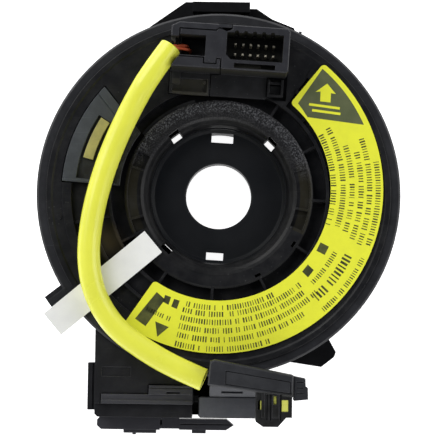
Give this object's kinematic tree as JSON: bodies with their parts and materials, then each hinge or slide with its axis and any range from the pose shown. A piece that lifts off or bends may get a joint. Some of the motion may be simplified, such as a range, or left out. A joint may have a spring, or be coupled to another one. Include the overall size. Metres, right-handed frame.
{
  "type": "steering clock spring",
  "caption": "Round fixed case with a turning front disc, wound flat cable, pin connector, sleeved airbag lead with plug, and rear sockets",
  "frame": {"origin": "On the steering shaft's axis, at the rear end of the spigot collar", "axes": "+Z along the shaft towards the driver, +Y up the face, +X to the right seen by the driver"},
  "size_m": [0.105, 0.1288, 0.0318],
  "materials": {
    "case_black": "satin",
    "block_black": "satin",
    "clip_black": "matt",
    "joint_box_grey": "gloss",
    "disc_black": "satin",
    "hub_black": "matt",
    "pod_black": "satin",
    "cover_black": "satin",
    "lead_cover_grey": "satin",
    "clip_yellow": "satin",
    "label_yellow": "printed film",
    "tape_white": "satin film",
    "pin_metal": "tinned",
    "cable_film": "clear film over copper",
    "slip_film": "satin film",
    "joint_black": "matt",
    "sleeve_yellow": "soft gloss tube",
    "wire_red": "gloss",
    "plug_black": "satin",
    "insulator_yellow": "satin",
    "lock_black": "satin"
  },
  "bodies": {
    "stator": {"outer_ring": "case_black", "rear_plate": "case_black", "block_tray": "case_black", "connector_block": "block_black", "block_cover": "block_black", "block_clip": "clip_black", "joint_box": "joint_box_grey", "joint_box_lid": "joint_box_grey", "socket_pins_main": "pin_metal", "socket_pins_airbag": "pin_metal", "outer_cable_joint": "joint_black", "slip_sheet": "slip_film", "flat_cable": "cable_film"},
    "rotor": {"rotor_cover": "disc_black", "hub_sleeve": "hub_black", "pin_connector_housing": "pod_black", "connector_pins": "pin_metal", "wire_cover": "cover_black", "lead_cover": "lead_cover_grey", "lead_clip": "clip_yellow", "face_label": "label_yellow", "inner_cable_joint": "joint_black", "transit_tape": "tape_white", "lead_sleeve": "sleeve_yellow", "lead_wires": "wire_red", "squib_housing": "plug_black", "squib_cover": "plug_black", "squib_insulator": "insulator_yellow", "squib_terminals": "pin_metal"},
    "squib_lock": {"squib_lock": "lock_black"}
  },
  "joints": [
    {"name": "rotor_turn", "type": "hinge", "parent": "stator", "child": "rotor", "pos_m": [0, 0, 0], "axis": [0, 0, 1], "range_deg": [-900, 900], "deforming": ["flat_cable"]},
    {"name": "squib_lock_slide", "type": "slide", "parent": "rotor", "child": "squib_lock", "axis": [1, 0, 0], "range_m": [0, 0.002]}
  ]
}
